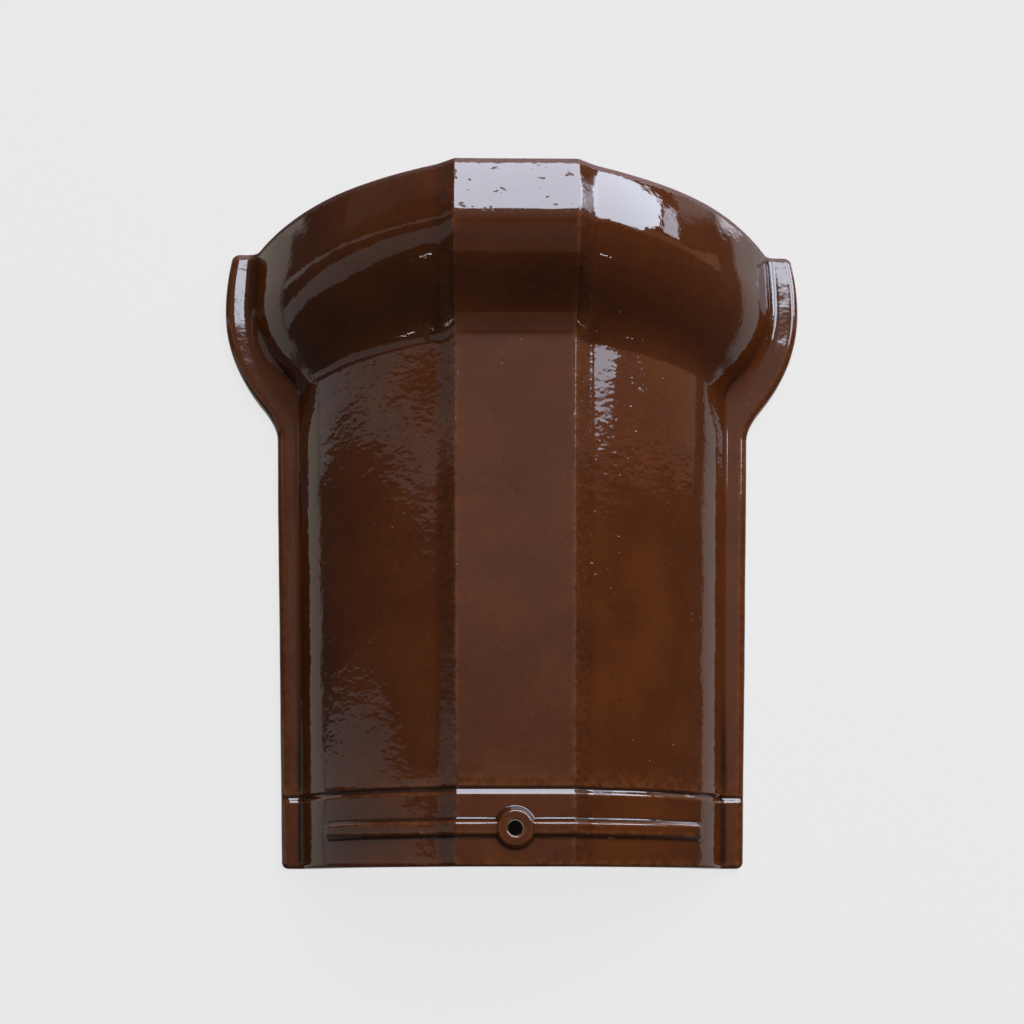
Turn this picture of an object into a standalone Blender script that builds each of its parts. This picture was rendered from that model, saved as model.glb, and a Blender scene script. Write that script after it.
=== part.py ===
# Ridge tile: the ceramic piece that covers the ridge of a tiled roof.
# One hollow shell, open underneath. It runs along Y, from the narrow tail at -Y, which goes
# under the next tile, to the flared collar at +Y, which covers the tail of the tile before.
# Every section is the same chain of points, so the shell is a loft through those chains.
import bpy
import bmesh
from math import sin, cos, tan, radians, pi, hypot

# Whole tile
LENGTH = 0.400
WALL = 0.0125
FLANGE_THICK = 0.011
GROWTH = 0.337              # gain of the body's section per metre, tail to collar

# Body section at the tail; heights are above the top of the flange
TAIL_FACET = 0.0327         # half width of the flat on the ridge
TAIL_HEIGHT = 0.0850
TAIL_BEVEL_RUN = 0.0092     # the steeper strip beside the flat
TAIL_BEVEL_DROP = 0.0068
TAIL_WALL = 0.1268          # half width over the feet of the walls
TAIL_FLANGE = 0.1403        # half width over the flanges
BODY_SHOULDER = 21.0        # degrees, fall of the side where it leaves the bevel
BODY_FOOT = 65.0            # degrees, fall of the side where it meets the flange
BODY_FILLET = 0.0035

# Collar section at its crest and at the open end
CREST_BACK = 0.031          # how far the crest stands back from the mouth
CREST_HEIGHT = 0.1425
CREST_WALL = 0.1720
CREST_FLANGE = 0.1909
MOUTH_HEIGHT = 0.1385
MOUTH_WALL = 0.1710
MOUTH_FLANGE = 0.1874
COLLAR_FACET = 0.0362
COLLAR_BEVEL_RUN = 0.0105
COLLAR_BEVEL_DROP = 0.0080
COLLAR_SHOULDER = 26.0
COLLAR_FOOT = 64.0
COLLAR_FILLET = 0.0080
FULLNESS = 1.2              # weight of the side's conic; more than 1 swells it
INNER_FALL = 5.0            # degrees that the underside leaves its flat top more steeply

# How long the collar is, from the mouth back to where it starts to rise
COLLAR_RIDGE = 0.0800
COLLAR_WALL = 0.0955
COLLAR_FLANGE = 0.1180
RISE_POWER = 2.15
RISE_SOFT = 0.22            # length of the concave foot as a share of the rise
RISE_SLOPE = 54.0           # degrees, for the thickness of the wall under the foot

# Edges
EDGE_ROUND = 0.0025         # rounding of both ends
FLANGE_ROUND = 0.0042       # rounding of the flange's outer top edge
CORNER_ROUND = 0.0038       # rounding of the flange corners in plan, less than the above
INNER_ROUND = 0.0012

# Scored line across the tail
GROOVE_AT = 0.0421
GROOVE_UP = 0.0021          # from its bottom to the edge on the collar's side
GROOVE_DOWN = 0.0029
GROOVE_DEPTH = 0.0014

# Rib, boss and nail hole on the tail
RIB_AT = 0.0208
RIB_HALF_LENGTH = 0.1105
RIB_HALF_TOP = 0.0026
RIB_FLANK = 0.0025
RIB_HEIGHT = 0.0030
BOSS_TOP_R = 0.0093
BOSS_FLANK = 0.0025
BOSS_HEIGHT = 0.0042
HOLE_R = 0.0043
HOLE_MOUTH = 0.0010         # width and depth of the worn mouth of the hole
SUNK = 0.0020               # how deep rib and boss reach into the wall to join it
RIB_END_DIP = 0.1           # share of its height that the rib's end dips under the skin

# Distances from the tail that follow from the sizes above
CREST_AT = LENGTH - CREST_BACK
FOOT_RIDGE = LENGTH - COLLAR_RIDGE
FOOT_WALL = LENGTH - COLLAR_WALL
FOOT_FLANGE = LENGTH - COLLAR_FLANGE

# Fineness of the faceted skin
BODY_STEPS = 4
SIDE_STEPS = 14
INNER_STEPS = 12
FILLET_STEPS = 3
ROUND_STEPS = 3
RIB_STEPS = 17
RISE_STEPS = 12
MOUTH_STEPS = 3
TURN_STEPS = 40
SIDE_LAST = 1 + SIDE_STEPS  # place of the side's last point in the outer half
OUTER_COUNT = SIDE_LAST + FILLET_STEPS + ROUND_STEPS + 3


def conic(start, end, start_fall, end_fall, steps):
    """Points after start up to end, falling at the two given angles at its ends."""
    ax, az = cos(radians(start_fall)), -sin(radians(start_fall))
    bx, bz = cos(radians(end_fall)), -sin(radians(end_fall))
    dx, dz = end[0] - start[0], end[1] - start[1]
    reach = (dx * bz - dz * bx) / (ax * bz - az * bx)
    mid = (start[0] + ax * reach, start[1] + az * reach)
    points = []
    for i in range(1, steps + 1):
        u = i / steps
        a, b, c = (1 - u) ** 2, 2 * u * (1 - u) * FULLNESS, u * u
        total = a + b + c
        points.append(tuple((a * start[k] + b * mid[k] + c * end[k]) / total for k in (0, 1)))
    return points


def outer_half(d, steps=SIDE_STEPS):
    """Right half of the outside, from the edge of the flat to the flange's bottom corner."""
    top = FLANGE_THICK + d["height"]
    valley = (d["facet"] + d["run"], top - d["drop"])
    cut = d["fillet"] * tan(radians(d["foot"] / 2))
    fall = radians(d["foot"])
    side_end = (d["wall"] - cut * cos(fall), FLANGE_THICK + cut * sin(fall))
    points = [(d["facet"], top), valley]
    points += conic(valley, side_end, d["shoulder"], d["foot"], steps)
    centre = (d["wall"] + cut, FLANGE_THICK + d["fillet"])
    for i in range(1, FILLET_STEPS + 1):
        a = fall * (1 - i / FILLET_STEPS)
        points.append((centre[0] - d["fillet"] * sin(a), centre[1] - d["fillet"] * cos(a)))
    for i in range(ROUND_STEPS + 1):
        a = pi / 2 * i / ROUND_STEPS
        points.append((d["flange"] - FLANGE_ROUND * (1 - sin(a)),
                       FLANGE_THICK - FLANGE_ROUND * (1 - cos(a))))
    points.append((d["flange"], 0.0))
    return points


def inner_half(d):
    """Right half of the underside, from the edge of its flat top to the ground."""
    fall = radians(d["foot"])
    top = FLANGE_THICK + d["height"] - WALL
    shoulder = (d["facet"] - WALL * tan(radians(d["shoulder"] / 2)), top)
    base = (d["wall"] - WALL / sin(fall) + FLANGE_THICK / tan(fall), 0.0)
    points = [shoulder]
    points += conic(shoulder, base, d["shoulder"] + INNER_FALL, d["foot"], INNER_STEPS)
    return points


def body_sizes(t):
    k = 1 + GROWTH * t
    return {"facet": TAIL_FACET * k, "height": TAIL_HEIGHT * k, "run": TAIL_BEVEL_RUN * k,
            "drop": TAIL_BEVEL_DROP * k, "wall": TAIL_WALL * k, "flange": TAIL_FLANGE * k,
            "shoulder": BODY_SHOULDER, "foot": BODY_FOOT, "fillet": BODY_FILLET}


def collar_sizes(t):
    v = max(0.0, (t - CREST_AT) / (LENGTH - CREST_AT)) ** 2
    return {"facet": COLLAR_FACET, "height": CREST_HEIGHT + (MOUTH_HEIGHT - CREST_HEIGHT) * v,
            "run": COLLAR_BEVEL_RUN, "drop": COLLAR_BEVEL_DROP,
            "wall": CREST_WALL + (MOUTH_WALL - CREST_WALL) * v,
            "flange": CREST_FLANGE + (MOUTH_FLANGE - CREST_FLANGE) * v,
            "shoulder": COLLAR_SHOULDER, "foot": COLLAR_FOOT, "fillet": COLLAR_FILLET}


def rise(t, foot):
    """Share of the way from the body to the collar, with a concave start at the foot."""
    u = (t - foot) / (CREST_AT - foot)
    if u <= -RISE_SOFT:
        return 0.0
    if u < RISE_SOFT:
        u = (u + RISE_SOFT) ** 2 / (4 * RISE_SOFT)
    return 1 - (1 - min(u, 1.0)) ** RISE_POWER


def outer_feet(count):
    """Foot of the collar for each point of the outer half."""
    feet = []
    for i in range(count):
        on_side = min(1.0, i / SIDE_LAST)
        on_flange = min(1.0, max(0, i - SIDE_LAST) / FILLET_STEPS)
        feet.append(FOOT_RIDGE + (FOOT_WALL - FOOT_RIDGE) * on_side
                    + (FOOT_FLANGE - FOOT_WALL) * on_flange)
    return feet


def inner_feet(count):
    shift = WALL * tan(radians(RISE_SLOPE / 2))
    return [FOOT_RIDGE + shift + (FOOT_WALL - FOOT_RIDGE) * i / (count - 1) for i in range(count)]


def blended(half, feet, t):
    """One half section at distance t from the tail."""
    low, high = half(body_sizes(t)), half(collar_sizes(t))
    points = []
    for a, b, foot in zip(low, high, feet):
        g = rise(t, foot)
        points.append((a[0] + (b[0] - a[0]) * g, a[1] + (b[1] - a[1]) * g))
    return points


def outward(points, i):
    """Unit normal of a half section at point i, towards the open air."""
    before = points[i - 1] if i else (-points[0][0], points[0][1])
    after = points[min(i + 1, len(points) - 1)]
    dx, dz = after[0] - before[0], after[1] - before[1]
    size = hypot(dx, dz)
    return (-dz / size, dx / size)


def point_at(half, feet, i, t, shift):
    """Point i of a half section at distance t, moved along its normal by shift."""
    points = blended(half, feet, t)
    n = outward(points, i)
    if i == len(points) - 1:
        n = (1.0, 0.0)
    return (points[i][0] + n[0] * shift, t - LENGTH / 2, points[i][1] + n[1] * shift)


def end_rounds(count):
    """Radius of the end rounding for each point of the outer half."""
    gain = CORNER_ROUND - EDGE_ROUND
    return [EDGE_ROUND + gain * min(1.0, max(0, i - SIDE_LAST) / FILLET_STEPS)
            for i in range(count)]


def end_station(turn, radii, at_mouth):
    """Distance and shift of every point on the rounding of an end; turn 0 is the end plane."""
    rows = []
    for r in radii:
        t = r - r * cos(turn)
        rows.append((LENGTH - t if at_mouth else t, r - r * sin(turn)))
    return rows


def skin(half, feet, radii, sign, groove):
    """All stations of one skin: a list of chains of right-half points."""
    count = len(feet)
    chains = []
    turns = [pi / 2 * i / ROUND_STEPS for i in range(ROUND_STEPS + 1)]
    for turn in turns:
        chains.append(end_station(turn, radii, False))
    scored = GROOVE_AT + GROOVE_UP
    plain = [(GROOVE_AT - GROOVE_DOWN, 0.0), (GROOVE_AT, GROOVE_DEPTH), (scored, 0.0)]
    plain += [(scored + (FOOT_FLANGE - scored) * i / BODY_STEPS, 0.0)
              for i in range(1, BODY_STEPS)]
    for t, depth in plain:
        chains.append([(t, depth * groove[i]) for i in range(count)])
    shares = [-RISE_SOFT, -RISE_SOFT / 2, 0.0, RISE_SOFT / 2, RISE_SOFT]
    shares += [RISE_SOFT + (1 - RISE_SOFT) * i / RISE_STEPS for i in range(1, RISE_STEPS + 1)]
    for u in shares:
        chains.append([(foot + u * (CREST_AT - foot), 0.0) for foot in feet])
    for i in range(1, MOUTH_STEPS):
        chains.append([(CREST_AT + (LENGTH - CREST_AT) * i / MOUTH_STEPS, 0.0)] * count)
    for turn in reversed(turns):
        chains.append(end_station(turn, radii, True))
    return [[point_at(half, feet, i, t, -sign * shift) for i, (t, shift) in enumerate(chain)]
            for chain in chains]


def mirrored(chain):
    return [(-x, y, z) for x, y, z in chain]


def loft(rings):
    """Closed skin through closed rings of points, capped at both ends."""
    bm = bmesh.new()
    rows = [[bm.verts.new(p) for p in ring] for ring in rings]
    count = len(rows[0])
    for a, b in zip(rows, rows[1:]):
        for i in range(count):
            j = (i + 1) % count
            bm.faces.new((a[i], a[j], b[j], b[i]))
    bm.faces.new(rows[0])
    bm.faces.new(rows[-1])
    bmesh.ops.recalc_face_normals(bm, faces=bm.faces)
    bmesh.ops.triangulate(bm, faces=bm.faces)
    return bm


def shell_mesh():
    """The tile without rib, boss and nail hole."""
    count_in = len(inner_half(body_sizes(0.0)))
    scored = OUTER_COUNT - 1 - ROUND_STEPS
    groove = [1.0] * scored + [0.0] * (OUTER_COUNT - scored)
    outside = skin(outer_half, outer_feet(OUTER_COUNT), end_rounds(OUTER_COUNT), 1, groove)
    inside = skin(inner_half, inner_feet(count_in), [INNER_ROUND] * count_in, -1, [0.0] * count_in)
    rings = []
    for out, inn in zip(outside, inside):
        rings.append(mirrored(out[::-1]) + out + inn[::-1] + mirrored(inn))
    return loft(rings)


def top_of_facet(t):
    return FLANGE_THICK + body_sizes(t)["height"]


def on_body(i, t, h):
    """Point over or under point i of the body's outside, at height h above the glaze."""
    half = outer_half(body_sizes(t), RIB_STEPS)
    n = outward(half, i)
    return (half[i][0] + n[0] * h, t - LENGTH / 2, half[i][1] + n[1] * h)


def rib_mesh():
    """Raised band that crosses the tail and follows its section."""
    half = outer_half(body_sizes(RIB_AT), RIB_STEPS)
    last = max(i for i, p in enumerate(half) if p[0] < RIB_HALF_LENGTH - RIB_FLANK)
    wide = RIB_HALF_TOP + RIB_FLANK * (1 + SUNK / RIB_HEIGHT)
    shape = [(-wide, -SUNK), (-RIB_HALF_TOP, RIB_HEIGHT), (RIB_HALF_TOP, RIB_HEIGHT), (wide, -SUNK)]
    rings = []
    for i in range(last + 1):
        rings.append([on_body(i, RIB_AT + dt, h) for dt, h in shape])
    here, beyond = half[last], half[last + 1]
    span = beyond[0] - here[0]
    top_end = (RIB_HALF_LENGTH - RIB_FLANK, 1.0, 1.0)
    foot_end = (RIB_HALF_LENGTH, -RIB_END_DIP, RIB_HALF_TOP / wide)
    for x, raised, narrowed in (top_end, foot_end):
        share = (x - here[0]) / span
        ring = []
        for dt, h in shape:
            h = h * raised if h > 0 else h
            dt = dt * narrowed
            a, b = on_body(last, RIB_AT + dt, h), on_body(last + 1, RIB_AT + dt, h)
            ring.append(tuple(a[k] + (b[k] - a[k]) * share for k in range(3)))
        rings.append(ring)
    left = [mirrored(ring) for ring in rings[::-1]]
    return loft(left + rings)


def turned_mesh(profile, steps):
    """Solid of revolution about the nail hole's axis; profile is (radius, height) pairs."""
    rings = []
    base = top_of_facet(RIB_AT)
    for r, h in profile:
        rings.append([(r * cos(2 * pi * i / steps), RIB_AT - LENGTH / 2 + r * sin(2 * pi * i / steps),
                       base + h) for i in range(steps)])
    return loft(rings)


def new_object(name, bm):
    mesh = bpy.data.meshes.new(name)
    bm.to_mesh(mesh)
    bm.free()
    item = bpy.data.objects.new(name, mesh)
    bpy.context.scene.collection.objects.link(item)
    return item


def combine(item, tool, operation):
    """Join or cut with a second mesh, which itself stays out of the part."""
    mod = item.modifiers.new(tool.name, "BOOLEAN")
    mod.object = tool
    mod.operation = operation
    mod.solver = "EXACT"
    tool.hide_render = True
    tool.display_type = "WIRE"


def glaze():
    mat = bpy.data.materials.new("brown_glaze")
    mat.use_nodes = True
    shader = mat.node_tree.nodes["Principled BSDF"]
    shader.inputs["Base Color"].default_value = (0.068, 0.022, 0.008, 1.0)
    shader.inputs["Roughness"].default_value = 0.12
    return mat


for old in list(bpy.data.objects):
    bpy.data.objects.remove(old, do_unlink=True)

tile = new_object("ridge_tile", shell_mesh())
rib = new_object("rib", rib_mesh())
boss_base = BOSS_TOP_R + BOSS_FLANK * (1 + SUNK / BOSS_HEIGHT)
boss = new_object("boss", turned_mesh([(boss_base, -SUNK), (BOSS_TOP_R, BOSS_HEIGHT)], TURN_STEPS))
reach = WALL * 2
nail = new_object("nail_hole", turned_mesh([(HOLE_R, -reach), (HOLE_R, BOSS_HEIGHT - HOLE_MOUTH),
                                            (HOLE_R + 2 * HOLE_MOUTH, BOSS_HEIGHT + HOLE_MOUTH)],
                                           TURN_STEPS))
combine(tile, rib, "UNION")
combine(tile, boss, "UNION")
combine(tile, nail, "DIFFERENCE")
tile.data.materials.append(glaze())
print("ridge tile:", len(tile.data.polygons), "faces before the joins")
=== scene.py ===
# %% [markdown]
# # A glazed ridge tile
# This tile covers the ridge of a roof. Clay was pressed in a mould, dipped in a brown glaze and
# fired once. The lesson builds it in the order in which the maker would think of it: first the
# sizes, then the skin, then the raised rib and the nail hole, and at the end the glaze and the
# light of the studio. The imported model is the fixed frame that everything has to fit.

# %% Load the frame
import bpy
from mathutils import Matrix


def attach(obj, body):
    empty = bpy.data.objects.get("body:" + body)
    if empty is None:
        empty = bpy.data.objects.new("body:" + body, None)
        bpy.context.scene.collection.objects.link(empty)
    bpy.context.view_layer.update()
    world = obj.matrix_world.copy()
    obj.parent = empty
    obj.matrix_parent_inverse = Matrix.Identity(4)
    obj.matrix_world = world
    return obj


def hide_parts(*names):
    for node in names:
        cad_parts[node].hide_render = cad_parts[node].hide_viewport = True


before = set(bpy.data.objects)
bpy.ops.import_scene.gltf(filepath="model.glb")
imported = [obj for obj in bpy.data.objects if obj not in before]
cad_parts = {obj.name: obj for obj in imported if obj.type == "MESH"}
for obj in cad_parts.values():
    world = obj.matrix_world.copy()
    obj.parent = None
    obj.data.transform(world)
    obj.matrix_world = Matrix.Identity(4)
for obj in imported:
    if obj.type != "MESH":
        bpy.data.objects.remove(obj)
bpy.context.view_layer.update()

# %% [markdown]
# ## Sizes
# The main sizes are the ones of the solid model, in metres. A few soft ones, such as the place
# of the collar's crest, differ from it by up to 1.5 mm, to suit the photograph. A distance along
# the tile is measured from its tail, which is the narrow end with the nail hole. Heights of the
# arch are measured from the top of the flanges, because the body is a piece of a cone that
# stands on them.

# %% Sizes of the tile
import math

import numpy as np

LENGTH = 0.400
WALL = 0.0125
FLANGE_THICK = 0.011
GROWTH = 0.337              # gain of the section per metre

TAIL = dict(facet=0.0327, height=0.0850, run=0.0092, drop=0.0068, wall=0.1268,
            flange=0.1403, shoulder=21.0, foot=65.0, fillet=0.0035)
CREST = dict(facet=0.0362, height=0.1425, run=0.0105, drop=0.0080, wall=0.1720,
             flange=0.1909, shoulder=26.0, foot=64.0, fillet=0.0080)
MOUTH_HEIGHT = 0.1385
MOUTH_WALL = 0.1710
MOUTH_FLANGE = 0.1874
FULLNESS = 1.2

CREST_AT = LENGTH - 0.0325
FOOT_RIDGE = LENGTH - 0.0800
FOOT_STRIP = LENGTH - 0.0845
FOOT_WALL = LENGTH - 0.0955
FOOT_FLANGE = LENGTH - 0.1180
RISE_POWER = 2.15
RISE_SOFT = 0.13            # hollow at the start of the rise, as a share of it
RIDGE_SOFT = 0.30           # the same on the ridge, where it is widest
RISE_SLOPE = 54.0

print("tile is", LENGTH * 1000, "mm long,", round(2000 * CREST["flange"], 1), "mm wide")

# %% [markdown]
# ## Where the mesh needs its lines
# A glossy skin shows every bend, so the mesh is a net whose columns run along the tile. Each
# column is one place on the section, such as the middle of the ridge or the foot of the wall.
# Small radii get several columns, and the long curved side gets them a few millimetres apart.
# A list of spans is easy to read and to change: name, number of columns.

# %% Columns of the section
PATCH = 0.0165              # half side of the square that holds the boss and the nail hole
PATCH_CELLS = 22            # cells on half of that side

SPANS = [("patch", PATCH_CELLS), ("flat", 12), ("crease", 4), ("bevel", 5), ("valley", 5),
         ("side", 58), ("fillet", 8), ("flange", 7), ("lip", 7), ("edge", 3), ("arris", 3),
         ("bed", 4), ("inside", 34), ("ceiling", 4), ("patch_in", PATCH_CELLS)]
starts = {}
count = 0
for name, steps in SPANS:
    starts[name] = count
    count += steps
HALF_COLUMNS = count + 1
print("columns on one half:", HALF_COLUMNS)

# %% [markdown]
# ## The section
# From the middle of the ridge outwards the section is a flat, a steeper strip beside it, a
# swelling side, a small hollow at the foot of the wall, the flange with its rounded lip, the
# flat bed that the tile stands on, and then the underside back up to the middle. The side is
# a conic: it leaves one point in a given direction and arrives at the other in a given
# direction, so it needs two angles and no list of points. Sharp corners of pressed clay are
# never quite sharp, so crease and valley are bent over a few tenths of a millimetre or more.

# %% Helpers for the section
CREASE_SOFT = 0.0007
VALLEY_SOFT = 0.0030
LIP_ROUND = 0.0058
ARRIS_ROUND = 0.0008


def span(name):
    """Columns of a span, and how far along it each of them is."""
    steps = dict(SPANS)[name]
    return starts[name] + 1 + np.arange(steps), np.arange(1, steps + 1) / steps


def bend(a, b, c, u):
    """Point on the arc that leaves a towards b and arrives at c."""
    return (1 - u) ** 2 * a + 2 * u * (1 - u) * b + u * u * c


def conic(ax, az, start_fall, bx, bz, end_fall, u):
    """Point on the swelling curve from a to b that falls at the two angles at its ends."""
    sx, sz = np.cos(np.radians(start_fall)), -np.sin(np.radians(start_fall))
    ex, ez = np.cos(np.radians(end_fall)), -np.sin(np.radians(end_fall))
    reach = ((bx - ax) * ez - (bz - az) * ex) / (sx * ez - sz * ex)
    p, q, r = (1 - u) ** 2, 2 * u * (1 - u) * FULLNESS, u * u
    total = p + q + r
    return ((p * ax + q * (ax + sx * reach) + r * bx) / total,
            (p * az + q * (az + sz * reach) + r * bz) / total)


print("span 'side' starts at column", starts["side"])

# %% Half section for arrays of sizes
def half_section(d):
    """Places (x, z) of all columns; every size in d is an array of rows and columns."""
    top = FLANGE_THICK + d["height"]
    x, z = np.zeros_like(top), top.copy()

    size = np.hypot(d["run"], d["drop"])
    bx, bz = d["run"] / size, d["drop"] / size
    sh, ft = np.radians(d["shoulder"]), np.radians(d["foot"])
    corner_x, corner_z = d["facet"] + d["run"], top - d["drop"]
    cut = d["fillet"] * np.tan(ft / 2)
    points = {
        "flat_end": (d["facet"] - CREASE_SOFT, top),
        "crease": (d["facet"], top),
        "strip_start": (d["facet"] + CREASE_SOFT * bx, top - CREASE_SOFT * bz),
        "strip_end": (corner_x - VALLEY_SOFT * bx, corner_z + VALLEY_SOFT * bz),
        "valley": (corner_x, corner_z),
        "side_start": (corner_x + VALLEY_SOFT * np.cos(sh), corner_z - VALLEY_SOFT * np.sin(sh)),
        "side_end": (d["wall"] - cut * np.cos(ft), FLANGE_THICK + cut * np.sin(ft)),
        "base": (d["wall"] - WALL / np.sin(ft) + FLANGE_THICK / np.tan(ft), 0 * top),
        "spring": (d["facet"] - WALL * np.tan(sh / 2), top - WALL),
    }

    def between(name, a, b):
        cols, u = span(name)
        for out, k in ((x, 0), (z, 1)):
            start, end = (p[k][:, cols] if np.ndim(p[k]) else p[k] for p in (a, b))
            out[:, cols] = start + (end - start) * u

    def bent(name, a, b, c):
        cols, u = span(name)
        for out, k in ((x, 0), (z, 1)):
            out[:, cols] = bend(a[k][:, cols], b[k][:, cols], c[k][:, cols], u)

    def curved(name, a, fall_a, b, fall_b, backwards=False):
        cols, u = span(name)
        u = 1 - u if backwards else u
        x[:, cols], z[:, cols] = conic(a[0][:, cols], a[1][:, cols], fall_a[:, cols],
                                       b[0][:, cols], b[1][:, cols], fall_b[:, cols], u)

    level = np.full_like(top, FLANGE_THICK)
    between("patch", (0 * top, top), (0 * top + PATCH, top))
    between("flat", (0 * top + PATCH, top), points["flat_end"])
    bent("crease", points["flat_end"], points["crease"], points["strip_start"])
    between("bevel", points["strip_start"], points["strip_end"])
    bent("valley", points["strip_end"], points["valley"], points["side_start"])
    curved("side", points["side_start"], d["shoulder"], points["side_end"], d["foot"])
    cols, u = span("fillet")
    turn = ft[:, cols] * (1 - u)
    x[:, cols] = (d["wall"] + cut)[:, cols] - d["fillet"][:, cols] * np.sin(turn)
    z[:, cols] = FLANGE_THICK + d["fillet"][:, cols] * (1 - np.cos(turn))
    between("flange", (d["wall"] + cut, level), (d["flange"] - LIP_ROUND, level))
    cols, u = span("lip")
    x[:, cols] = d["flange"][:, cols] - LIP_ROUND * (1 - np.sin(u * np.pi / 2))
    z[:, cols] = FLANGE_THICK - LIP_ROUND * (1 - np.cos(u * np.pi / 2))
    between("edge", (d["flange"], level - LIP_ROUND), (d["flange"], 0 * top + ARRIS_ROUND))
    bent("arris", (d["flange"], 0 * top + ARRIS_ROUND), (d["flange"], 0 * top),
         (d["flange"] - ARRIS_ROUND, 0 * top))
    between("bed", (d["flange"] - ARRIS_ROUND, 0 * top), points["base"])
    curved("inside", points["spring"], d["shoulder"] + 5.0, points["base"], d["foot"], True)
    between("ceiling", points["spring"], (0 * top + PATCH, top - WALL))
    between("patch_in", (0 * top + PATCH, top - WALL), (0 * top, top - WALL))
    return x, z


def body_sizes(t):
    k = 1 + GROWTH * t
    fixed = ("shoulder", "foot", "fillet")
    return {name: v + 0 * t if name in fixed else v * k for name, v in TAIL.items()}


def collar_sizes(t):
    v = np.clip((t - CREST_AT) / (LENGTH - CREST_AT), 0, 1) ** 2
    mouth = dict(CREST, height=MOUTH_HEIGHT, wall=MOUTH_WALL, flange=MOUTH_FLANGE)
    return {name: CREST[name] + (mouth[name] - CREST[name]) * v for name in CREST}


probe = np.array([[0.0] * HALF_COLUMNS])
px, pz = half_section(body_sizes(probe))
print("tail section: half width", round(px.max() * 1000, 1), "height", round(pz.max() * 1000, 1))

# %% [markdown]
# ## Along the tile
# The collar is the body's section blown up. A share that goes from 0 to 1 mixes the two, and
# it starts with a soft hollow, because a mould has no sharp inner corner. The rise starts
# further from the mouth on the flange than on the ridge, so every column has its own foot.
# Rows of the net lean with those feet, which keeps the hollow's lines clean.

# %% Foot of the collar for each column, and the share of the rise
def per_column(values):
    """One number for each column from a value at the end of each span."""
    out = np.zeros(HALF_COLUMNS)
    last = values["patch"]
    out[0] = last
    for name, steps in SPANS:
        cols, u = span(name)
        out[cols] = last + (values[name] - last) * u
        last = values[name]
    return out


inner_shift = WALL * math.tan(math.radians(RISE_SLOPE / 2))
ridge_foot_in, wall_foot_in = FOOT_RIDGE + inner_shift, FOOT_WALL + inner_shift
FEET = per_column({"patch": FOOT_RIDGE, "flat": FOOT_RIDGE, "crease": FOOT_RIDGE,
                   "bevel": FOOT_STRIP, "valley": FOOT_STRIP,
                   "side": FOOT_WALL, "fillet": FOOT_FLANGE, "flange": FOOT_FLANGE,
                   "lip": FOOT_FLANGE, "edge": FOOT_FLANGE, "arris": FOOT_FLANGE,
                   "bed": wall_foot_in, "inside": ridge_foot_in, "ceiling": ridge_foot_in,
                   "patch_in": ridge_foot_in})
HOLLOW = per_column({"patch": RIDGE_SOFT, "flat": RIDGE_SOFT, "crease": RIDGE_SOFT,
                     "bevel": 0.24, "valley": 0.21, "side": 0.12, "fillet": RISE_SOFT,
                     "flange": RISE_SOFT, "lip": RISE_SOFT, "edge": RISE_SOFT,
                     "arris": RISE_SOFT, "bed": RISE_SOFT, "inside": 0.22, "ceiling": 0.22,
                     "patch_in": 0.22})


def rise(t):
    """Share of the collar at distance t, for all columns."""
    u = (t - FEET) / (CREST_AT - FEET)
    soft = (u + HOLLOW) ** 2 / (4 * HOLLOW)
    u = np.where(u <= -HOLLOW, 0, np.where(u < HOLLOW, soft, np.minimum(u, 1)))
    return 1 - (1 - u) ** RISE_POWER


print("feet of the collar, mm from the tail:", round(FEET.min() * 1000), "to",
      round(FEET.max() * 1000))

# %% Rows of the net
GROOVE_AT, GROOVE_UP, GROOVE_DOWN, GROOVE_DEPTH = 0.0421, 0.0021, 0.0029, 0.0013
RIB_AT = 0.0208
END_ROUND, CORNER_ROUND, INNER_ROUND = 0.0025, 0.0038, 0.0012

radii = per_column({"patch": END_ROUND, "flat": END_ROUND, "crease": END_ROUND,
                    "bevel": END_ROUND, "valley": END_ROUND, "side": END_ROUND,
                    "fillet": CORNER_ROUND, "flange": CORNER_ROUND, "lip": CORNER_ROUND,
                    "edge": CORNER_ROUND, "arris": CORNER_ROUND, "bed": INNER_ROUND,
                    "inside": INNER_ROUND, "ceiling": INNER_ROUND, "patch_in": INNER_ROUND})
turns = np.linspace(0, np.pi / 2, 7)
rows, insets = [], []
for turn in turns:
    rows.append(radii * (1 - np.cos(turn)))
    insets.append(radii * (1 - np.sin(turn)))
patch_first = len(rows)
level_rows = list(np.linspace(RIB_AT - PATCH, RIB_AT + PATCH, 2 * PATCH_CELLS + 1))
patch_last = patch_first + len(level_rows) - 1
level_rows += list(np.linspace(RIB_AT + PATCH, GROOVE_AT - GROOVE_DOWN, 4)[1:])
level_rows += list(np.linspace(GROOVE_AT - GROOVE_DOWN, GROOVE_AT + GROOVE_UP, 15)[1:])
rows += [t + 0 * FEET for t in level_rows]
first_bend = FEET - HOLLOW * (CREST_AT - FEET)
for k in np.linspace(0, 1, 61)[1:]:
    rows.append(level_rows[-1] + (first_bend - level_rows[-1]) * k)
for k in np.linspace(-1, 1, 19)[1:]:
    rows.append(FEET + k * HOLLOW * (CREST_AT - FEET))
for k in np.linspace(0, 1, 34)[1:]:
    rows.append(FEET + (HOLLOW + (1 - HOLLOW) * k) * (CREST_AT - FEET))
for k in np.linspace(0, 1, 13)[1:-1]:
    rows.append(CREST_AT + (LENGTH - radii - CREST_AT) * k)
insets += [0 * FEET] * (len(rows) - len(insets))
for turn in turns[::-1]:
    rows.append(LENGTH - radii * (1 - np.cos(turn)))
    insets.append(radii * (1 - np.sin(turn)))
T, INSET = np.array(rows), np.array(insets)
print("net:", T.shape[0], "rows of", 2 * HALF_COLUMNS - 2, "points")

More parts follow.
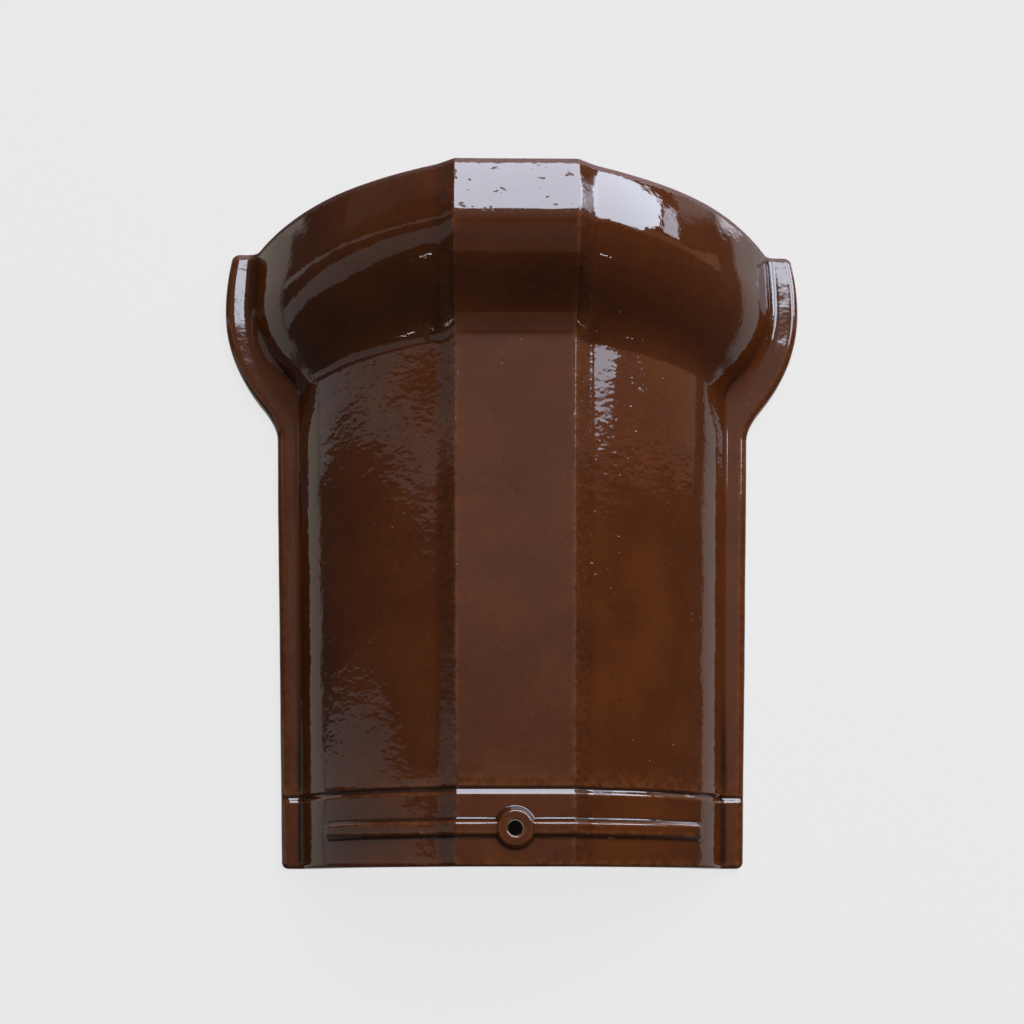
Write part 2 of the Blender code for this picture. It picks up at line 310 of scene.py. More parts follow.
# %% [markdown]
# ## The skin
# Body and collar are worked out for every point of the net and mixed by the share of the
# rise. Then everything that stands up or is cut in moves points along the normal of the
# section: the rounded ends, the scored line, the rib, and a slow unevenness of hand-pressed
# clay. The unevenness only goes inwards, so the tile never outgrows its solid model.

# %% Mix body and collar, and find the normals of the section
body_x, body_z = half_section(body_sizes(T))
collar_x, collar_z = half_section(collar_sizes(T))
share = rise(T)
X = body_x + (collar_x - body_x) * share
Z = body_z + (collar_z - body_z) * share


def section_normals(x, z):
    """Normals in the plane of the section, out of the clay."""
    before_x = np.concatenate([-x[:, 1:2], x[:, :-1]], axis=1)
    before_z = np.concatenate([z[:, 1:2], z[:, :-1]], axis=1)
    after_x = np.concatenate([x[:, 1:], -x[:, -2:-1]], axis=1)
    after_z = np.concatenate([z[:, 1:], z[:, -2:-1]], axis=1)
    dx, dz = after_x - before_x, after_z - before_z
    size = np.hypot(dx, dz)
    return -dz / size, dx / size


NX, NZ = section_normals(X, Z)
print("widest:", round(2000 * X.max(), 1), "highest:", round(1000 * Z.max(), 1))

# %% Relief of the tail: rib, boss and nail hole
RIB_HALF_LENGTH, RIB_HALF_TOP, RIB_FLANK, RIB_HEIGHT = 0.1105, 0.0026, 0.0025, 0.0030
BOSS_TOP_R, BOSS_FLANK, BOSS_HEIGHT = 0.0093, 0.0025, 0.0042
HOLE_R, HOLE_MOUTH = 0.0043, 0.0011
RIB_CORNER = 0.0026


def flank(u):
    """Height of a pressed edge: 0 outside, 1 on top, softly bent at both ends."""
    u = np.clip(u, 0, 1)
    return 0.45 * u + 0.55 * u * u * (3 - 2 * u)


def relief(x, t):
    """Height over the body at place x across and t along the tile."""
    far_x = np.abs(x) - (RIB_HALF_LENGTH - RIB_CORNER)
    far_t = np.abs(t - RIB_AT) - (RIB_HALF_TOP + RIB_FLANK - RIB_CORNER)
    out = np.hypot(np.maximum(far_x, 0), np.maximum(far_t, 0)) - RIB_CORNER
    out = out + np.minimum(np.maximum(far_x, far_t), 0)
    rib = RIB_HEIGHT * flank(-out / RIB_FLANK)
    r = np.hypot(x, t - RIB_AT)
    boss = BOSS_HEIGHT * flank((BOSS_TOP_R + BOSS_FLANK - r) / BOSS_FLANK)
    worn = np.clip((HOLE_R + HOLE_MOUTH - r) / HOLE_MOUTH, 0, 1)
    return np.maximum(rib, boss) - HOLE_MOUTH * (1 - np.sqrt(1 - worn ** 2))


def groove(t):
    """Depth of the scored line at distance t from the tail."""
    d = t - GROOVE_AT
    a = np.clip(np.where(d > 0, d / GROOVE_UP, -d / GROOVE_DOWN), 0, 1)
    return GROOVE_DEPTH * (0.6 * (1 - a) + 0.2 * (1 + np.cos(np.pi * a)))


print("boss stands", BOSS_HEIGHT * 1000, "mm, rib", RIB_HEIGHT * 1000, "mm")

# %% Slow unevenness of the pressed clay
def uneven(x, y, z, length, waves, seed):
    """Smooth random field between about -1 and 1 with features of the given length."""
    rng = np.random.RandomState(seed)
    total = np.zeros_like(x)
    for _ in range(waves):
        axis = rng.normal(size=3)
        axis *= 2 * np.pi / (length * rng.uniform(0.7, 1.6)) / np.linalg.norm(axis)
        total += np.sin(axis[0] * x + axis[1] * y + axis[2] * z + rng.uniform(0, 6.28))
    return total / math.sqrt(waves)


def unevenness(x, y, z):
    """How far the skin stands inside its true place, in metres."""
    slow = uneven(x, y, z, 0.065, 14, 3)
    quick = uneven(x, y, z, 0.022, 20, 8)
    return 0.00016 * (1 + np.tanh(slow)) + 0.00005 * (1 + np.tanh(quick))


outside = np.zeros(HALF_COLUMNS)
outside[:starts["lip"] + 1] = 1.0
cols, u = span("lip")
outside[cols] = 1 - u
bare = np.zeros(HALF_COLUMNS)
bare[starts["bed"]:] = 1.0
print("outside ends at column", starts["lip"], "of", HALF_COLUMNS)

# %% Move the skin: ends, groove, rib, unevenness
inward_x, inward_z = -NX * INSET, -NZ * INSET
corner = np.arange(starts["arris"] + 1, starts["inside"] + 1)
bed_cols, bed_u = span("bed")
slide = np.zeros(HALF_COLUMNS)
slide[corner] = -1.0
slide[bed_cols] = -1.0 + bed_u * (1 + 1 / math.sin(math.radians(TAIL["foot"])))
inward_x[:, corner] = INSET[:, corner] * slide[corner]
inward_z[:, corner] = 0.0

both_x = np.concatenate([X, -X[:, -2:0:-1]], axis=1)
both_z = np.concatenate([Z, Z[:, -2:0:-1]], axis=1)
both_nx = np.concatenate([NX, -NX[:, -2:0:-1]], axis=1)
both_nz = np.concatenate([NZ, NZ[:, -2:0:-1]], axis=1)
both_t = np.concatenate([T, T[:, -2:0:-1]], axis=1)
both_y = both_t - LENGTH / 2
shift_x = np.concatenate([inward_x, -inward_x[:, -2:0:-1]], axis=1)
shift_z = np.concatenate([inward_z, inward_z[:, -2:0:-1]], axis=1)
mirror = np.concatenate([np.arange(HALF_COLUMNS), np.arange(HALF_COLUMNS - 2, 0, -1)])

out_here = outside[mirror]
stands = out_here * (relief(both_x, both_t) - groove(both_t))
standing = np.isin(mirror, corner) | (bare[mirror] > 0.5) & (both_z < 0.0005).all(axis=0)
soft = np.where(standing, 0.0, 1.0) * unevenness(both_x, both_y, both_z)
PX = both_x + shift_x + both_nx * (stands - soft)
PZ = both_z + shift_z + both_nz * (stands - soft)
PY = both_y
COLUMNS = PX.shape[1]
print("skin moved by", round(1000 * (stands - soft).min(), 2), "to",
      round(1000 * (stands - soft).max(), 2), "mm")

# %% [markdown]
# ## The nail hole in its square
# A net of squares can't hold a round hole. So a square of the net is left out on the ridge,
# and rings of points fill it: round ones at the hole and the boss, which slowly turn into the
# square at the border, where they use the points of the net. The same is done on the underside,
# and the two are joined by the wall of the hole.

# %% Border of the square, the same order above and below
def border(center_column, sign):
    """Row and column of each border point of the square, once around."""
    down = patch_first + np.arange(2 * PATCH_CELLS + 1)
    across = np.arange(-PATCH_CELLS, PATCH_CELLS + 1)
    lap = [(down[0], c) for c in across[:-1]] + [(r, across[-1]) for r in down[:-1]]
    lap += [(down[-1], c) for c in across[:0:-1]] + [(r, across[0]) for r in down[:0:-1]]
    return [(r, (center_column + sign * c) % COLUMNS) for r, c in lap]


rim_out = border(0, 1)
rim_in = border(HALF_COLUMNS - 1, -1)
print("border points:", len(rim_out))

# %% Rings of points between hole and square
def ring_places(radii, morphs):
    """x and t of rings about the nail hole, from circles to the square of the net."""
    square = np.array([(PX[r, c], both_t[r, c]) for r, c in rim_out])
    square[:, 1] -= RIB_AT
    angle = np.arctan2(square[:, 1], square[:, 0])
    places = []
    for radius, w in [(r, 0.0) for r in radii] + [(radii[-1], w) for w in morphs]:
        circle = np.stack([radius * np.cos(angle), radius * np.sin(angle)], axis=1)
        places.append(circle + (square - circle) * w)
    return places


mouth_turns = np.linspace(np.pi / 2, 0, 7)
radii_out = list(HOLE_R + HOLE_MOUTH * (1 - np.sin(mouth_turns)))
radii_out += list(np.linspace(HOLE_R + HOLE_MOUTH, BOSS_TOP_R, 7)[1:])
radii_out += list(np.linspace(BOSS_TOP_R, BOSS_TOP_R + BOSS_FLANK, 9)[1:]) + [0.0124, 0.0130]
morphs = np.linspace(0, 1, 8)[1:-1]
rings_out = ring_places(radii_out, morphs)
rings_in = ring_places([HOLE_R, 0.0052, 0.0065, 0.0085, 0.0110], np.linspace(0, 1, 5)[1:-1])
print("rings above:", len(rings_out), "below:", len(rings_in))

# %% Points of both patches and of the wall between them
def ridge_height(t):
    return FLANGE_THICK + TAIL["height"] * (1 + GROWTH * t)


def patch_points(places, above):
    points = []
    for place in places:
        x, t = place[:, 0], place[:, 1] + RIB_AT
        y, base = t - LENGTH / 2, ridge_height(t)
        if above:
            h = relief(x, t) - unevenness(x, y, base)
        else:
            base = base - WALL
            h = unevenness(x, y, base)
        points.append(np.stack([x, y, base + h], axis=1))
    return points


points_out, points_in = patch_points(rings_out, True), patch_points(rings_in, False)
lip_out, lip_in = points_out[0], points_in[0]
WALL_RINGS = 5
wall = [lip_out + (lip_in - lip_out) * k / (WALL_RINGS + 1) for k in range(1, WALL_RINGS + 1)]
print("nail hole is", round(1000 * float((lip_out - lip_in)[:, 2].mean()), 1), "mm deep")

# %% Put the whole skin together
grid_rows = PX.shape[0]
flat_points = np.stack([PX, PY, PZ], axis=2).reshape(-1, 3)
blocks = [flat_points] + points_out + wall + points_in
ring_start = np.cumsum([0] + [len(b) for b in blocks])[:-1]
vertices = np.concatenate(blocks)

grid = np.arange(grid_rows * COLUMNS).reshape(grid_rows, COLUMNS)
a, b = grid[:-1], grid[1:]
quads = np.stack([a, np.roll(a, -1, axis=1), np.roll(b, -1, axis=1), b], axis=2)
row_of, col_of = np.meshgrid(np.arange(grid_rows - 1), np.arange(COLUMNS), indexing="ij")
wide = (col_of < PATCH_CELLS) | (col_of >= COLUMNS - PATCH_CELLS)
under = np.abs(col_of + 0.5 - (HALF_COLUMNS - 1)) < PATCH_CELLS
along = (row_of >= patch_first) & (row_of < patch_last)
keep = ~(along & (wide | under))
face_clay = (col_of >= starts["bed"]) & (col_of < COLUMNS - starts["bed"])
faces = quads[keep].tolist()
is_clay = face_clay[keep].tolist()


def ring_ids(k):
    return ring_start[1 + k] + np.arange(len(rim_out))


loops = [ring_ids(k) for k in range(len(points_out))]
loops.append(np.array([grid[r, c] for r, c in rim_out]))
walls = [ring_ids(len(points_out) + k) for k in range(len(wall))]
loops_in = [ring_ids(len(points_out) + len(wall) + k) for k in range(len(points_in))]
loops_in.append(np.array([grid[r, c] for r, c in rim_in]))


def bridge(chain, flip, clay):
    for low, high in zip(chain, chain[1:]):
        turned = np.stack([low, np.roll(low, -1), np.roll(high, -1), high], axis=1)
        faces.extend((turned[:, ::-1] if flip else turned).tolist())
        is_clay.extend([clay] * len(turned))


bridge(loops, False, False)
bridge([loops[0]] + walls[:2], True, False)
bridge(walls[1:] + [loops_in[0]], True, True)
bridge(loops_in, True, True)
faces.append(grid[0][::-1].tolist())
faces.append(grid[-1].tolist())
is_clay += [False, False]
print("vertices", len(vertices), "faces", len(faces))

# %% Make the mesh and turn every face outwards
import bmesh

mesh = bpy.data.meshes.new("glazed_tile")
mesh.from_pydata(vertices.tolist(), [], faces)
mesh.polygons.foreach_set("material_index", [1 if clay else 0 for clay in is_clay])
net = bmesh.new()
net.from_mesh(mesh)
loose = [v for v in net.verts if not v.link_faces]
bmesh.ops.delete(net, geom=loose, context="VERTS")
bmesh.ops.recalc_face_normals(net, faces=net.faces)
open_edges = sum(1 for e in net.edges if len(e.link_faces) != 2)
volume = net.calc_volume(signed=True)
net.to_mesh(mesh)
net.free()
mesh.update()
tile = bpy.data.objects.new("glazed_tile", mesh)
bpy.context.scene.collection.objects.link(tile)
triangles = sum(len(p.vertices) - 2 for p in mesh.polygons)
print("open edges", open_edges, "volume", round(volume * 1e6), "cm3, triangles", triangles)

# %% [markdown]
# ## Where the glaze runs thin
# A molten glaze draws away from sharp edges and gathers in hollows. Edges therefore come out
# lighter and browner. Hollows are painted nearly black: partly the thick glaze, and partly painted
# shade that stands in for the shadow falling there. The mesh already knows where both are: the
# bend of the skin at each point, positive on edges and negative in hollows. It is stored on the
# points, so the material can use it from any side.

# %% Bend of the skin at each point
count = len(mesh.vertices)
place = np.empty(count * 3)
mesh.vertices.foreach_get("co", place)
place = place.reshape(-1, 3)
normal = np.empty(count * 3)
mesh.vertices.foreach_get("normal", normal)
normal = normal.reshape(-1, 3)
ends = np.empty(len(mesh.edges) * 2, dtype=np.int64)
mesh.edges.foreach_get("vertices", ends)
ends = ends.reshape(-1, 2)
links = np.maximum(np.bincount(ends.ravel(), minlength=count), 1)


def neighbour_sum(first, second):
    """Adds a value of each edge to both of its points."""
    return (np.bincount(ends[:, 0], weights=first, minlength=count)
            + np.bincount(ends[:, 1], weights=second, minlength=count))


step = place[ends[:, 1]] - place[ends[:, 0]]
size2 = np.maximum((step ** 2).sum(axis=1), 1e-12)
bend_first = -2 * (step * normal[ends[:, 0]]).sum(axis=1) / size2
bend_second = 2 * (step * normal[ends[:, 1]]).sum(axis=1) / size2
curve = neighbour_sum(bend_first, bend_second) / links


def spread(values, times):
    """Blurs values over the net."""
    for _ in range(times):
        values = 0.5 * values + 0.5 * neighbour_sum(values[ends[:, 1]], values[ends[:, 0]]) / links
    return values


def store(name, values):
    field = mesh.attributes.new(name, "FLOAT", "POINT")
    field.data.foreach_set("value", values.astype(np.float32))
    print(name, "mean", round(float(values.mean()), 3), "max", round(float(values.max()), 3))


store("thin", np.clip(spread(np.clip((curve - 25) / 220, 0, 1), 3) * 1.5, 0, 1))
# Hollows: thick glaze gathers there, and the darkening is also painted shade in them
store("pooled_glaze_and_shade", np.clip(spread(np.clip((-curve - 12) / 120, 0, 1), 3) * 1.6, 0, 1))

# %% Mark the strips beside the ridge and the rough rim of the collar
strip_flag = np.zeros(HALF_COLUMNS)
for name in ("crease", "bevel", "valley"):
    cols, u = span(name)
    strip_flag[cols] = 1.0
strip_flag[starts["valley"] + 3:] = 0.0
grid_strip = np.tile(strip_flag[mirror], (grid_rows, 1)).reshape(-1)
all_strip = np.concatenate([grid_strip, np.zeros(len(vertices) - len(grid_strip))])
used_rows = np.zeros(len(vertices), dtype=bool)
used_rows[np.unique(np.concatenate([np.array(f) for f in faces]))] = True
store("strip", spread(all_strip[used_rows], 1))
on_flat = (np.abs(place[:, 0]) < TAIL["facet"] * 0.99) & (place[:, 1] < FOOT_RIDGE - LENGTH / 2)
on_flange = place[:, 2] < FLANGE_THICK + 0.0004
on_collar = place[:, 1] > FOOT_RIDGE - LENGTH / 2
on_top = on_collar & (np.abs(place[:, 0]) < CREST["facet"])
calmness = np.maximum(on_flat, np.maximum(0.8 * (on_flange | on_top), 0.35 * on_collar))
store("calm", spread(calmness, 2))
on_crest = (place[:, 1] > 0.164) & (np.abs(place[:, 0]) < CREST["facet"]) & (place[:, 1] < 0.196)
store("crest", spread(on_crest.astype(float), 1))

# %% [markdown]
# ## Colours
# Colours are written as the hex codes that a picture editor shows and turned into the linear
# values that a renderer works with. The glaze is an iron glaze: a thin glass, stained brown by
# iron oxide, over a brown clay body. Where it is thick it looks almost black.

# %% Colours and a helper for nodes
def colour(code):
    """Linear RGBA from an sRGB hex code."""
    parts = [int(code[i:i + 2], 16) / 255 for i in (1, 3, 5)]
    return tuple(c / 12.92 if c < 0.04045 else ((c + 0.055) / 1.055) ** 2.4
                 for c in parts) + (1.0,)


def add(tree, kind, inputs=None, **settings):
    """One node with its settings; inputs are values, or the outputs of other nodes."""
    item = tree.nodes.new(kind)
    for key, value in settings.items():
        setattr(item, key, value)
    for key, value in (inputs or {}).items():
        if isinstance(value, bpy.types.NodeSocket):
            tree.links.new(value, item.inputs[key])
        else:
            item.inputs[key].default_value = value
    return item


def mix(tree, factor, first, second):
    """Blend of two colours."""
    item = add(tree, "ShaderNodeMix", {"Factor": factor, 6: first, 7: second}, data_type="RGBA")
    return item.outputs[2]


def between(tree, value, low, high, to_low=0.0, to_high=1.0):
    """Value from low to high, stretched softly to a new range."""
    item = add(tree, "ShaderNodeMapRange",
               {"Value": value, "From Min": low, "From Max": high, "To Min": to_low,
                "To Max": to_high}, interpolation_type="SMOOTHSTEP")
    return item.outputs["Result"]


def maths(tree, operation, first, second):
    item = add(tree, "ShaderNodeMath", {0: first, 1: second}, operation=operation)
    return item.outputs[0]


def clouds(tree, where, size, detail=3.0, rough=0.5):
    """Soft noise whose patches are about the given size in metres."""
    item = add(tree, "ShaderNodeTexNoise", {"Vector": where, "Scale": 1.0 / size,
                                            "Detail": detail, "Roughness": rough})
    return item.outputs["Fac"]


def new_material(name):
    """Empty material with a principled shader, its node tree and object coordinates."""
    material = bpy.data.materials.new(name)
    material.use_nodes = True
    tree = material.node_tree
    shader = tree.nodes["Principled BSDF"]
    where = add(tree, "ShaderNodeTexCoord").outputs["Object"]
    return material, tree, shader, where


print("glaze brown in linear values:", [round(c, 3) for c in colour("#502710")[:3]])

# %% [markdown]
# ## Brown iron glaze
# The glaze was poured over raw clay and fired once. It is smooth glass, so its roughness is
# only 0.03 to 0.06 and its index of refraction that of glass, 1.52. It isn't flat: it lies over
# grains of sand and over the marks of the press, which gives an orange-peel skin with fine waves
# of 2.6 mm and wider dents of 4.6 mm. Both are far too shallow to model, a tenth of a millimetre
# at most, so they are bump. Gas has left pinholes, and grains of iron and lime show as dark and
# pale specks. The flat ridge, the flanges and the collar are calmer than the sides.

# %% Glaze: colour
glaze, tree, shader, where = new_material("brown_iron_glaze_fired_over_clay")
thin = add(tree, "ShaderNodeAttribute", attribute_name="thin").outputs["Fac"]
pooled_glaze_and_shade = add(tree, "ShaderNodeAttribute", attribute_name="pooled_glaze_and_shade").outputs["Fac"]
strip = add(tree, "ShaderNodeAttribute", attribute_name="strip").outputs["Fac"]

broad = clouds(tree, where, 0.045, 4.0, 0.55)
small = clouds(tree, where, 0.0045, 3.0, 0.6)
body_colour = mix(tree, between(tree, broad, 0.35, 0.68), colour("#49230F"), colour("#532A12"))
flecks = between(tree, small, 0.42, 0.72, 0.0, 0.16)
body_colour = mix(tree, flecks, body_colour, colour("#653517"))
# Hollows darkened nearly black: partly thick glaze, partly painted shade where shadow falls
deep = maths(tree, "MULTIPLY", pooled_glaze_and_shade, between(tree, small, 0.2, 0.6, 0.55, 1.0))
body_colour = mix(tree, deep, body_colour, colour("#28140A"))
worn = maths(tree, "MULTIPLY", thin, between(tree, small, 0.35, 0.62, 0.05, 0.45))
body_colour = mix(tree, worn, body_colour, colour("#7E4B2B"))
mottle = between(tree, clouds(tree, where, 0.0032, 3.0, 0.65), 0.42, 0.60, 0.0, 0.35)
mottle = maths(tree, "MULTIPLY", strip, mottle)
body_colour = mix(tree, mottle, body_colour, colour("#2A1610"))
print("glaze colours set")

# %% Glaze: specks and pinholes
def specks(tree, where, cell, radius, share, seed_shift):
    """1 inside sparse round spots, 0 elsewhere; share is how many of the cells have one."""
    moved = add(tree, "ShaderNodeVectorMath", {0: where, 1: (seed_shift, 0.0, seed_shift)},
                operation="ADD").outputs[0]
    cells = add(tree, "ShaderNodeTexVoronoi", {"Vector": moved, "Scale": 1.0 / cell})
    tone = add(tree, "ShaderNodeSeparateColor", {0: cells.outputs["Color"]}).outputs[0]
    chosen = maths(tree, "LESS_THAN", tone, share)
    near = between(tree, cells.outputs["Distance"], radius / cell, 0.5 * radius / cell)
    return maths(tree, "MULTIPLY", chosen, near)


dark_specks = specks(tree, where, 0.0042, 0.0007, 0.24, 0.31)
pale_specks = specks(tree, where, 0.0075, 0.0005, 0.04, 0.77)
pinholes = specks(tree, where, 0.0058, 0.00050, 0.06, 0.53)
crest = add(tree, "ShaderNodeAttribute", attribute_name="crest").outputs["Fac"]
long_where = add(tree, "ShaderNodeMapping", {"Vector": where, "Scale": (0.6, 1.1, 1.0)}).outputs[0]
scabs = between(tree, clouds(tree, long_where, 0.0050, 2.0, 0.65), 0.630, 0.655)
scabs = maths(tree, "MULTIPLY", scabs, crest)
place_along = add(tree, "ShaderNodeSeparateXYZ", {0: where}).outputs["Y"]
frayed = maths(tree, "MULTIPLY", clouds(tree, where, 0.0045, 3.0, 0.6), 0.0035)
frayed = maths(tree, "ADD", place_along, frayed)
rim = maths(tree, "MULTIPLY", between(tree, frayed, 0.1968, 0.1976),
            between(tree, place_along, 0.1996, 0.1990))
scabs = maths(tree, "MAXIMUM", scabs, rim)
body_colour = mix(tree, maths(tree, "MULTIPLY", dark_specks, 0.75), body_colour, colour("#170A05"))
body_colour = mix(tree, maths(tree, "MULTIPLY", pale_specks, 0.8), body_colour, colour("#B79C86"))
body_colour = mix(tree, maths(tree, "MULTIPLY", pinholes, 0.6), body_colour, colour("#120804"))
body_colour = mix(tree, maths(tree, "MULTIPLY", scabs, 0.85), body_colour, colour("#3E2014"))
print("dark specks 1.4 mm wide in one of four cells of 4.2 mm, pale ones 1 mm and rare")

# %% Glaze: skin
def bump(tree, height, depth, below=None):
    inputs = {"Strength": 1.0, "Distance": depth, "Height": height}
    if below is not None:
        inputs["Normal"] = below
    return add(tree, "ShaderNodeBump", inputs).outputs["Normal"]


calm = add(tree, "ShaderNodeAttribute", attribute_name="calm").outputs["Fac"]
lively = between(tree, calm, 0.0, 1.0, 1.0, 0.25)
wide_where = add(tree, "ShaderNodeMapping", {"Vector": where, "Scale": (0.8, 1.0, 0.8)}).outputs[0]
hammer = maths(tree, "MULTIPLY", clouds(tree, wide_where, 0.0046, 1.0, 0.5), lively)
dents = bump(tree, hammer, 0.000100)
orange = maths(tree, "MULTIPLY", clouds(tree, wide_where, 0.0026, 1.0, 0.45), lively)
peel = bump(tree, orange, 0.000034, dents)
lumps = between(tree, clouds(tree, where, 0.0034, 1.0, 0.5), 0.70, 0.80)
lumps = maths(tree, "MULTIPLY", lumps, between(tree, calm, 0.5, 0.0))
peel = bump(tree, lumps, 0.00004, peel)
grain = maths(tree, "MULTIPLY", clouds(tree, where, 0.0016, 2.0, 0.6), strip)
ragged = bump(tree, grain, 0.00004, peel)
holes = bump(tree, maths(tree, "SUBTRACT", 0.0, pinholes), 0.00004, ragged)
skin = bump(tree, maths(tree, "ADD", pale_specks, dark_specks), 0.000008, holes)

foot_noise = clouds(tree, where, 0.006, 3.0, 0.6)
height_here = add(tree, "ShaderNodeSeparateXYZ", {0: where}).outputs["Z"]
line = maths(tree, "ADD", height_here, maths(tree, "MULTIPLY", foot_noise, -0.0035))
glazed = between(tree, line, -0.0009, -0.0002)
body_colour = mix(tree, glazed, colour("#7C4E35"), body_colour)
gloss = between(tree, clouds(tree, where, 0.02, 3.0, 0.6), 0.3, 0.7, 0.03, 0.06)
gloss = maths(tree, "ADD", gloss, maths(tree, "MULTIPLY", strip, 0.04))
gloss = maths(tree, "ADD", gloss, maths(tree, "MULTIPLY", scabs, 0.60))
bare_rough = between(tree, glazed, 0.0, 1.0, 0.75, 0.0)
tree.links.new(body_colour, shader.inputs["Base Color"])
tree.links.new(maths(tree, "MAXIMUM", gloss, bare_rough), shader.inputs["Roughness"])
tree.links.new(skin, shader.inputs["Normal"])
shader.inputs["IOR"].default_value = 1.52
mesh.materials.append(glaze)
print("glaze nodes:", len(tree.nodes))

# %% [markdown]
# ## Bare clay underneath
# The underside wasn't glazed, so that it doesn't stick to the kiln shelf. Fired brown clay is
# matt and a little sandy. Long shallow streaks show where it was smoothed along the mould.

# %% Bare fired clay
clay, tree, shader, where = new_material("bare_fired_clay_smoothed_by_hand")
stretched = add(tree, "ShaderNodeMapping", {"Vector": where, "Scale": (1.0, 0.12, 1.0)}).outputs[0]
streaks = clouds(tree, stretched, 0.004, 4.0, 0.6)
sand = clouds(tree, where, 0.0009, 2.0, 0.7)
patches = clouds(tree, where, 0.05, 4.0, 0.6)
tone = mix(tree, between(tree, patches, 0.35, 0.65), colour("#8E5A3E"), colour("#A8704F"))
tone = mix(tree, between(tree, streaks, 0.4, 0.7, 0.0, 0.5), tone, colour("#B98463"))
tone = mix(tree, specks(tree, where, 0.005, 0.0008, 0.25, 0.2), tone, colour("#5B3A2A"))
tree.links.new(tone, shader.inputs["Base Color"])
tree.links.new(between(tree, sand, 0.2, 0.8, 0.72, 0.92), shader.inputs["Roughness"])
rough_skin = bump(tree, streaks, 0.0006)
tree.links.new(bump(tree, sand, 0.00012, rough_skin), shader.inputs["Normal"])
shader.inputs["Specular IOR Level"].default_value = 0.3
mesh.materials.append(clay)
print("clay nodes:", len(tree.nodes))

# %% Smooth shading, sharp only where the clay was cut
mesh.shade_smooth()
mesh.set_sharp_from_angle(angle=math.radians(50))
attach(tile, "root")
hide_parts("ridge_tile")
print("tile rides on root")

# %% [markdown]
# ## Floor and light
# A glossy brown thing is seen by what it mirrors, so gloss and colour are lit one at a time. A
# soft lamp, which mirrors can't see, lights the colour of the clay. A room drawn further down,
# which only mirrors can see, gives the gloss. The pale floor glows by itself, as paper lit from
# all sides would, at full strength for the camera alone, so that it throws little light up at
# the glaze. A glowing floor has no shadow, so it is painted dark under the tile, fading towards
# the mouth. Without that the nail hole would show a bright floor.

# %% Pale floor
FLOOR_EDGE = 6.0
GLOW_SEEN, GLOW_ELSEWHERE = 0.757, 0.10
SHADE_HALF_WIDTH, SHADE_HALF_LENGTH = 0.138, 0.197
SHADE_SIDE_FADE, SHADE_END_FADE = 0.040, 0.005

floor_mesh = bpy.data.meshes.new("floor")
edge = FLOOR_EDGE
floor_mesh.from_pydata([(-edge, -edge, 0), (edge, -edge, 0), (edge, edge, 0), (-edge, edge, 0)],
                       [], [(0, 1, 2, 3)])
floor = bpy.data.objects.new("floor", floor_mesh)
floor.location = (0, 0, -0.0005)
floor.visible_glossy = False
bpy.context.scene.collection.objects.link(floor)
paper, tree, shader, where = new_material("pale_matt_floor")
shader.inputs["Base Color"].default_value = (0.06, 0.06, 0.06, 1.0)
shader.inputs["Emission Color"].default_value = (1.0, 1.0, 1.0, 1.0)
parts = add(tree, "ShaderNodeSeparateXYZ", {0: where})
aside = maths(tree, "ABSOLUTE", parts.outputs[0], 0.0)
aside = maths(tree, "SUBTRACT", aside, SHADE_HALF_WIDTH)
astern = maths(tree, "ABSOLUTE", parts.outputs[1], 0.0)
astern = maths(tree, "SUBTRACT", astern, SHADE_HALF_LENGTH)
beside = maths(tree, "MAXIMUM", between(tree, aside, -SHADE_SIDE_FADE, 0.0),
               between(tree, astern, -SHADE_END_FADE, 0.0))
towards_mouth = between(tree, parts.outputs[1], -0.02, 0.20, 0.0, 0.8)
beside = maths(tree, "MAXIMUM", beside, towards_mouth)
seen_directly = add(tree, "ShaderNodeLightPath").outputs["Is Camera Ray"]
strength = between(tree, seen_directly, 0.0, 1.0, GLOW_ELSEWHERE, GLOW_SEEN)
tree.links.new(maths(tree, "MULTIPLY", beside, strength), shader.inputs["Emission Strength"])
shader.inputs["Roughness"].default_value = 0.9
shader.inputs["Specular IOR Level"].default_value = 0.0
floor_mesh.materials.append(paper)
print("floor", 2 * FLOOR_EDGE, "m wide")

# %% Soft lamp
from mathutils import Matrix, Vector

KEY_AT, KEY_AIM = Vector((1.40, 1.95, 3.20)), Vector((0, 0, 0.05))
KEY_WIDTH, KEY_HEIGHT, KEY_WATTS = 4.4, 3.4, 224.0

key_light = bpy.data.lights.new("soft_key", "AREA")
key_light.shape = "RECTANGLE"
key_light.size, key_light.size_y = KEY_WIDTH, KEY_HEIGHT
key_light.energy = KEY_WATTS
key = bpy.data.objects.new("soft_key", key_light)
key_turn = (KEY_AIM - KEY_AT).to_track_quat("-Z", "Y").to_matrix().to_4x4()
key.matrix_world = Matrix.Translation(KEY_AT) @ key_turn
key.visible_diffuse = True
key.visible_glossy = False
key.visible_camera = False
bpy.context.scene.collection.objects.link(key)
print("lamp", KEY_WIDTH, "by", KEY_HEIGHT, "m,", KEY_WATTS, "W")

# %% [markdown]
# ## The room in the mirror
# A room could be built of walls and lamps, but each of them would also light the clay. Drawing
# it in the world shader is simpler: every direction becomes a place in a round picture, with the
# zenith in its middle, `over` to the east and `along` to the north. `patch` is a box in that
# picture. All places and levels were set by comparing what the tile mirrors with the
# photograph. So they suit that one view best, and say little about the real room.
#
# A Light Path node then shows this room to mirrored rays only. Other rays get a weak even grey,
# which opens the shadows, and the camera sees the plain backdrop.

# %% The dim room around
world = bpy.data.worlds.new("room")
world.use_nodes = True
bpy.context.scene.world = world
tree = world.node_tree
background = tree.nodes["Background"]
way = add(tree, "ShaderNodeTexCoord").outputs["Generated"]
parts = add(tree, "ShaderNodeSeparateXYZ", {0: way})
east, north, up = parts.outputs[0], parts.outputs[1], parts.outputs[2]
height = maths(tree, "ADD", maths(tree, "ABSOLUTE", up, 0.0), 1.0)
over = maths(tree, "DIVIDE", east, height)
along = maths(tree, "DIVIDE", north, height)


